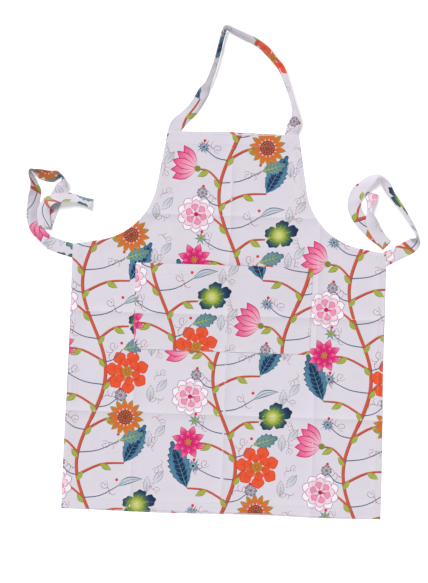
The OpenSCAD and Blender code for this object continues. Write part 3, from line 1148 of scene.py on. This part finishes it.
def cotton(name, pitch=0.5):
    """Printed plain-weave cotton with slight slubs, crumples, a soft sheen and a little painted
    shade between its threads.
    """
    material, tree, shader = new_material(
        name, Roughness=0.86, Specular_IOR_Level=0.28, Sheen_Weight=0.12, Sheen_Roughness=0.5
    )
    paint = tree.nodes.new("ShaderNodeVertexColor")
    paint.layer_name = "Print"
    cloth, weave = woven(tree, pitch)

    slub = node(tree, "ShaderNodeTexNoise", Scale=900.0, Detail=3.0, Roughness=0.6)
    stretch = node(tree, "ShaderNodeMapping")
    stretch.inputs["Scale"].default_value = (1.0, 0.12, 1.0)
    tree.links.new(cloth.outputs["UV"], stretch.inputs["Vector"])
    tree.links.new(stretch.outputs["Vector"], slub.inputs["Vector"])
    cloudy = node(tree, "ShaderNodeTexNoise", Scale=22.0, Detail=4.0)
    tree.links.new(cloth.outputs["UV"], cloudy.inputs["Vector"])

    tone = ranged(tree, slub.outputs["Fac"], 0.82, 0.96)
    wash = ranged(tree, cloudy.outputs["Fac"], 0.96, 1.03)
    # The weave's height also tints the colour, darker between the threads and lighter on their
    # crowns: painted shade and painted highlight of the weave.
    thread = ranged(tree, weave.outputs["Value"], 0.95, 1.03)
    first = product(tree, tone.outputs["Result"], wash.outputs["Result"])
    second = product(tree, first.outputs["Value"], thread.outputs["Result"])
    shade = tree.nodes.new("ShaderNodeVectorMath")
    shade.operation = "SCALE"
    tree.links.new(paint.outputs["Color"], shade.inputs["Vector"])
    tree.links.new(second.outputs["Value"], shade.inputs["Scale"])
    tree.links.new(shade.outputs["Vector"], shader.inputs["Base Color"])

    fine = bump(tree, weave.outputs["Value"], 0.25, 0.00015)
    creased = node(tree, "ShaderNodeTexNoise", Scale=34.0, Detail=3.0, Roughness=0.55)
    tree.links.new(cloth.outputs["UV"], creased.inputs["Vector"])
    soft = bump(tree, creased.outputs["Fac"], 0.3, 0.003)
    tree.links.new(fine.outputs["Normal"], soft.inputs["Normal"])
    tree.links.new(soft.outputs["Normal"], shader.inputs["Normal"])
    return material


def sewing_thread():
    """Pale twisted thread."""
    material, tree, shader = new_material("Sewing thread", Roughness=0.55, Sheen_Weight=0.2)
    place = node(tree, "ShaderNodeTexCoord")
    twist = node(tree, "ShaderNodeTexNoise", Scale=2500.0, Detail=2.0)
    tree.links.new(place.outputs["Object"], twist.inputs["Vector"])
    ramp = tree.nodes.new("ShaderNodeValToRGB")
    ramp.color_ramp.elements[0].color = (*(THREAD * 0.82), 1)
    ramp.color_ramp.elements[1].color = (*THREAD, 1)
    tree.links.new(twist.outputs["Fac"], ramp.inputs["Fac"])
    tree.links.new(ramp.outputs["Color"], shader.inputs["Base Color"])
    rough = bump(tree, twist.outputs["Fac"], 0.4, 0.0002)
    tree.links.new(rough.outputs["Normal"], shader.inputs["Normal"])
    return material


def light_table():
    """White floor that glows a little, so that the shadows on it stay pale."""
    return new_material(
        "Floor", Base_Color=(0.95, 0.95, 0.95, 1), Roughness=0.9,
        Emission_Color=(1, 1, 1, 1), Emission_Strength=0.22,
    )[0]


PRINTED = cotton("Printed cotton")
SEWING = sewing_thread()


# ---- camera, light and floor ----

# The camera looks straight down, turned a little, so that the apron leans in the picture
VIEW_X, VIEW_Y = -0.031, 0.487
VIEW_HEIGHT = 1.279
VIEW_TURN = 1.93
LENS, SENSOR = 100.0, 36.0


def make_camera():
    data = bpy.data.cameras.new("Camera")
    data.lens = LENS
    data.sensor_width = SENSOR
    data.clip_end = 50
    camera = bpy.data.objects.new("Camera", data)
    camera.location = (VIEW_X, VIEW_Y, VIEW_HEIGHT * LENS / SENSOR)
    camera.rotation_euler = (0, 0, radians(VIEW_TURN))
    bpy.context.scene.collection.objects.link(camera)
    bpy.context.scene.camera = camera


def make_studio():
    world = bpy.data.worlds.new("Studio")
    world.use_nodes = True
    sky = world.node_tree.nodes["Background"]
    sky.inputs["Color"].default_value = (1.0, 1.0, 1.0, 1)
    sky.inputs["Strength"].default_value = 0.44
    scene = bpy.context.scene
    scene.world = world
    scene.view_settings.view_transform = "Standard"
    key = bpy.data.lights.new("Key", "SUN")
    key.energy = 2.55
    key.angle = radians(24)
    lamp = bpy.data.objects.new("Key", key)
    lamp.rotation_euler = Vector((0.42, -0.5, -1)).to_track_quat("-Z", "Y").to_euler()
    scene.collection.objects.link(lamp)
    bpy.ops.mesh.primitive_plane_add(size=14, location=(0, 0.4, -0.0004))
    floor = bpy.context.object
    floor.name = "Floor"
    floor.data.materials.append(light_table())


# ---- building the pieces ----


def near_line(points, line, reach):
    """1 near a flat line, and 0 further than reach from it."""
    return 1 - smooth(reach, reach + 2, line_distance(np.array(line, float), points))


def ends_of(strap_routes):
    """Middle lines of the sewn ends of the straps, on the flat apron."""
    return [[[x + p[0], y + p[1]] for p in route] for route, x, y in strap_routes]


SEWN_ENDS = ends_of([
    (NECK_ROUTE[:3], 0, BODY_H),
    (NECK_ROUTE[-3:], 0, BODY_H),
    (LEFT_ROUTE[:5], -WAIST_W / 2, SIDE_H),
    (RIGHT_ROUTE[:3], WAIST_W / 2, SIDE_H),
])


def over_a_strap(points):
    found = np.zeros(len(points))
    for line in SEWN_ENDS:
        found = np.maximum(found, near_line(points, line, STRAP_W / 2 + 1))
    return found


def fold_lines(folds, spread=(-5.0, -1.6, 0.0, 1.6, 5.0)):
    return [fold + step for fold in folds for step in spread]


def make_panel():
    areas = print_over(panel_low[:2], panel_high[:2])
    grid = lattice(
        panel_low, panel_high, GRID, fold_lines(UPRIGHT_FOLDS), fold_lines(LEVEL_FOLDS)
    )
    roll = whole_outline(EDGE_ROLL)
    cut = cut_cloth(OUTLINE, grid, areas, lines=[closed(roll)])
    reverse = plain_reverse(cut, grid, [closed(roll)])
    top = -0.25 * (1 - smooth(0, EDGE_ROLL, edge_distance(OUTLINE, cut.flat)))
    edge = 1 - smooth(0, EDGE_ROLL, edge_distance(OUTLINE, reverse.flat))
    wrap = edge * (1 - over_a_strap(reverse.flat))
    bottom = -CLOTH_T + 0.2 * edge - (FOLD_T - 0.1) * wrap
    return shell("front_panel_cloth", cut, lay_panel, top, bottom, PRINTED, reverse=reverse)


def turning_grid(outline):
    """Points close enough together for a turning to lie as the cloth over it does."""
    low, high = outline.min(axis=0), outline.max(axis=0)
    upright = [x for x in fold_lines(UPRIGHT_FOLDS) if low[0] < x < high[0]]
    level = [y for y in fold_lines(LEVEL_FOLDS) if low[1] < y < high[1]]
    return lattice(low, high, TURNING_GRID, upright, level)


def strip_cut(outer, inner, holes=()):
    outline = np.vstack([outer, inner[::-1]])
    return cut_cloth(outline, turning_grid(outline), holes=holes)


def strap_hole(line):
    return stroke(line, STRAP_W + 1.5, STRAP_W + 1.5)


def lay_under(flat, height):
    """Height is measured down from the panel's back."""
    return lay_panel(flat, -CLOTH_T - height)


def make_hem(name, outer, inner, holes=()):
    cut = strip_cut(np.array(outer), np.array(inner), holes)
    top, bottom = np.full(len(cut.flat), 0.04), np.full(len(cut.flat), FOLD_T - 0.04)
    return shell(name, cut, lay_under, top, bottom, PRINTED, TURNED_PRINT)


def make_hems():
    gap = EDGE_GAP
    low, high = BOTTOM_TURN + TURNING_GAP, BODY_H - BIB_TURN - TURNING_GAP
    holes = [strap_hole(line) for line in SEWN_ENDS]
    side_inner = [side_point(SIDE_TURN, low), corner(SIDE_TURN, ARM_TURN + TURNING_GAP)]
    side_outer = [side_point(gap, low), corner(gap, ARM_TURN + TURNING_GAP)]
    arm_outer = [corner(gap, gap), *armhole(gap), bib_point(gap, high)]
    arm_inner = [corner(gap, ARM_TURN), *armhole(ARM_TURN), bib_point(ARM_TURN, high)]
    bottom = [side_point(gap, gap), side_point(gap, BOTTOM_TURN)]
    top = [bib_point(gap, BODY_H - BIB_TURN), bib_point(gap, BODY_H - gap)]
    return {
        "right_side_hem": make_hem("right_side_turning", side_outer, side_inner, [holes[3]]),
        "left_side_hem": make_hem(
            "left_side_turning", mirrored(side_inner), mirrored(side_outer), [holes[2]]
        ),
        "right_armhole_hem": make_hem("right_armhole_turning", arm_outer, arm_inner, [holes[3]]),
        "left_armhole_hem": make_hem(
            "left_armhole_turning", mirrored(arm_inner), mirrored(arm_outer), [holes[2]]
        ),
        "bottom_hem": make_hem("bottom_turning", bottom, mirrored(bottom)[::-1]),
        "bib_top_hem": make_hem("bib_turning", top, mirrored(top)[::-1], holes[:2]),
    }


def pocket_outline(inset):
    x0, x1 = POCKET_X + inset, POCKET_X + POCKET_W - inset
    y0, y1 = POCKET_Y + inset, POCKET_Y + POCKET_H - inset
    return np.array([[x0, y0], [x1, y0], [x1, y1], [x0, y1]])


def make_pocket():
    outline = pocket_outline(0)
    low, high = outline.min(axis=0), outline.max(axis=0)
    areas = print_over(low, high, POCKET_OFFSET)
    grid = lattice(low, high, POCKET_GRID, fold_lines([0.0]), fold_lines([LEVEL_FOLDS[1]]))
    roll = pocket_outline(EDGE_ROLL)
    edge_points = even_steps(closed(outline), POCKET_GRID)[:-1]
    cut = cut_cloth(edge_points, grid, areas, lines=[closed(roll)])
    edge = 1 - smooth(0, EDGE_ROLL, edge_distance(outline, cut.flat))
    top = -0.2 * edge
    bottom = -CLOTH_T + 0.15 * edge - (CLOTH_T - 0.1) * edge
    return shell("pocket_cloth", cut, lay_pocket, top, bottom, PRINTED)


def make_pocket_turnings():
    gap = EDGE_GAP
    x0, x1 = POCKET_X + gap, POCKET_X + POCKET_W - gap
    y0, y1 = POCKET_Y + gap, POCKET_Y + POCKET_H - MOUTH_TURN - TURNING_GAP
    a, b = POCKET_X + ARM_TURN, POCKET_X + POCKET_W - ARM_TURN
    c = POCKET_Y + ARM_TURN
    outline = np.array([[x0, y0], [x1, y0], [x1, y1], [b, y1], [b, c], [a, c], [a, y1], [x0, y1]])
    mouth_y = POCKET_Y + POCKET_H
    strip = np.array([
        [x0, mouth_y - MOUTH_TURN], [x1, mouth_y - MOUTH_TURN], [x1, mouth_y - gap],
        [x0, mouth_y - gap],
    ])
    made = []
    for name, shape in (("pocket_side_turnings", outline), ("pocket_mouth_turning", strip)):
        cut = cut_cloth(shape, turning_grid(shape))
        top = np.full(len(cut.flat), -CLOTH_T - 0.03)
        bottom = np.full(len(cut.flat), -FOLD_T + 0.03)
        made.append(shell(name, cut, lay_pocket, top, bottom, PRINTED, TURNED_PRINT))
    return made


def make_hem_stitches(surface):
    low, high = BOTTOM_TURN - SEW_IN, BODY_H - BIB_TURN + SEW_IN
    right = right_edge(ARM_TURN - SEW_IN, low, high, SIDE_TURN - SEW_IN)
    side, bib = side_point(1, low)[0], bib_point(1, high)[0]
    lines = [right, mirrored(right), [[-side, low], [side, low]], [[-bib, high], [bib, high]]]
    return stitches("hem_stitches", [sewn_row(x, lay_panel, surface) for x in lines], SEWING)


def make_pocket_stitches(surface):
    x0, x1 = POCKET_X + SEW_IN, POCKET_X + POCKET_W - SEW_IN
    y0, y1 = POCKET_Y + SEW_IN, POCKET_Y + POCKET_H
    mouth = y1 - MOUTH_TURN + SEW_IN
    lines = [
        [[x0, y1 - 1], [x0, y0], [x1, y0], [x1, y1 - 1]],
        [[x0 + 1, mouth], [x1 - 1, mouth]],
    ]
    return stitches("pocket_stitches", [sewn_row(x, lay_pocket, surface) for x in lines], SEWING)


def make_tacks(name, middles, surface):
    lines = [line for x, y in middles for line in tack_lines(x, y)]
    return stitches(name, [sewn_row(x, lay_panel, surface) for x in lines], SEWING)


def make_strap(name, strap, areas):
    half = STRAP_W / 2
    outline = np.array([[0, -half], [strap.length, -half], [strap.length, half], [0, half]])
    edge_points = even_steps(closed(outline), STRAP_RIM)[:-1]
    inner = half - EDGE_ROLL
    lines = [even_steps([[0, y], [strap.length, y]], STRAP_RIM) for y in (-inner, inner)]
    grid = lattice([0, -inner], [strap.length, inner], STRAP_GRID)
    cut = cut_cloth(edge_points, grid, areas, lines=lines)
    edge = 1 - smooth(0, EDGE_ROLL, half - np.abs(cut.flat[:, 1]))
    tip = 1 - smooth(0, EDGE_ROLL, np.minimum(cut.flat[:, 0], strap.length - cut.flat[:, 0]))
    thin = 0.3 * np.maximum(edge, tip)
    return shell(name, cut, strap.lay, CLOTH_T - thin, thin - CLOTH_T, PRINTED, 0.9)


def make_strap_stitches(name, strap, surface):
    y = STRAP_W / 2 - STRAP_SEW_IN
    lines = [[[8, side * y], [strap.length - 4, side * y]] for side in (-1, 1)]
    rows = [sewn_row(x, strap.lay_face, surface) for x in lines]
    return stitches(name, rows, SEWING)


def strap_print(strap, offset):
    return print_over([0, -STRAP_W / 2], [strap.length, STRAP_W / 2], offset)


def bend_at_seam(piece, body, fold, reach):
    """Bakes the piece's placement into its mesh; it bends nothing at the seam."""
    start, end = (0, (fold - reach) * MM, 0), (0, (fold + reach) * MM, 0)
    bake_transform(piece)
    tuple(start)
    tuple(end)


def put_on_body(obj, *nodes, slot):
    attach(obj, "apron")
    finish_piece(obj, *nodes, slot=slot)


def finish_piece(obj, *nodes, slot):
    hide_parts(*nodes)


def make_apron():
    panel = make_panel()
    put_on_body(panel, "front_panel", slot="printed_cotton")
    hems = make_hems()
    for cad_node, hem in hems.items():
        put_on_body(hem, cad_node, slot="cotton_reverse")
    pocket = make_pocket()
    put_on_body(pocket, "pocket_panel", slot="printed_cotton")
    sides, mouth = make_pocket_turnings()
    put_on_body(sides, "pocket_turnings", slot="cotton_reverse")
    put_on_body(mouth, "pocket_mouth_hem", slot="cotton_reverse")
    panel_surface, pocket_surface = surface_of(panel), surface_of(pocket)
    hem_sewing = make_hem_stitches(panel_surface)
    pocket_sewing = make_pocket_stitches(pocket_surface)
    bib_y = BODY_H - BIB_TURN + TACK_IN + TACK / 2 + 1
    waist_y = SIDE_H - TACK / 2 - 8
    waist_x = WAIST_W / 2 - TACK / 2 - 1
    neck_tack_places = [(NECK_ROUTE[0][0], bib_y), (NECK_ROUTE[-1][0], bib_y)]
    neck_tacks = make_tacks("neck_tack_stitches", neck_tack_places, panel_surface)
    tie_tack_places = [(-waist_x, waist_y), (waist_x, waist_y)]
    waist_tacks = make_tacks("tie_tack_stitches", tie_tack_places, panel_surface)
    sewing = {"hem_stitching": hem_sewing, "pocket_stitching": pocket_sewing,
              "neck_strap_tacks": neck_tacks, "tie_tacks": waist_tacks}
    for cad_node, rows in sewing.items():
        put_on_body(rows, cad_node, slot="sewing_thread")

    area = abs(signed_area(OUTLINE)) * MM * MM
    for cad_node, hem in hems.items():
        hem_flat(cad_node)
    return panel


def hem_flat(cad_node):
    widths = {"bottom_hem": BOTTOM_TURN, "bib_top_hem": BIB_TURN, "left_side_hem": SIDE_TURN,
              "right_side_hem": SIDE_TURN, "left_armhole_hem": ARM_TURN,
              "right_armhole_hem": ARM_TURN}
    arm = np.array([corner(0, 0), *armhole(0), bib_point(0, BODY_H - BIB_TURN)])
    lengths = {"bottom_hem": HEM_W, "bib_top_hem": BIB_W, "left_side_hem": SIDE_H - BOTTOM_TURN,
               "right_side_hem": SIDE_H - BOTTOM_TURN}
    around = np.linalg.norm(np.diff(arm, axis=0), axis=1).sum()
    return widths[cad_node] * MM, lengths.get(cad_node, around) * MM


def make_straps(panel):
    """The three straps."""
    straps = (
        ("neck_strap", NECK_ROUTE, 0, BODY_H, NECK_CREASES, NECK_OFFSET, NECK_FOLD, 8.0,
         ("neck_strap_left_end", "neck_strap_right_end")),
        ("left_tie", LEFT_ROUTE, -WAIST_W / 2, SIDE_H, LEFT_CREASES, LEFT_OFFSET, LEFT_FOLD, 8.0,
         ("left_tie_end",)),
        ("right_tie", RIGHT_ROUTE, WAIST_W / 2, SIDE_H, RIGHT_CREASES, RIGHT_OFFSET, RIGHT_FOLD,
         4.0, ("right_tie_end",)),
    )
    for body, route, x, y, creases, offset, fold, reach, ends in straps:
        strap = Strap(route, x, y, creases)
        cloth = make_strap(f"{body}_cloth", strap, strap_print(strap, offset))
        bend_at_seam(cloth, body, fold, reach)
        finish_piece(cloth, body, *ends, slot="printed_cotton")
        sewing = make_strap_stitches(f"{body}_stitches", strap, surface_of(cloth))
        bend_at_seam(sewing, body, fold, reach)
        finish_piece(sewing, f"{body}_stitching", slot="sewing_thread")


make_camera()
make_studio()
make_straps(make_apron())
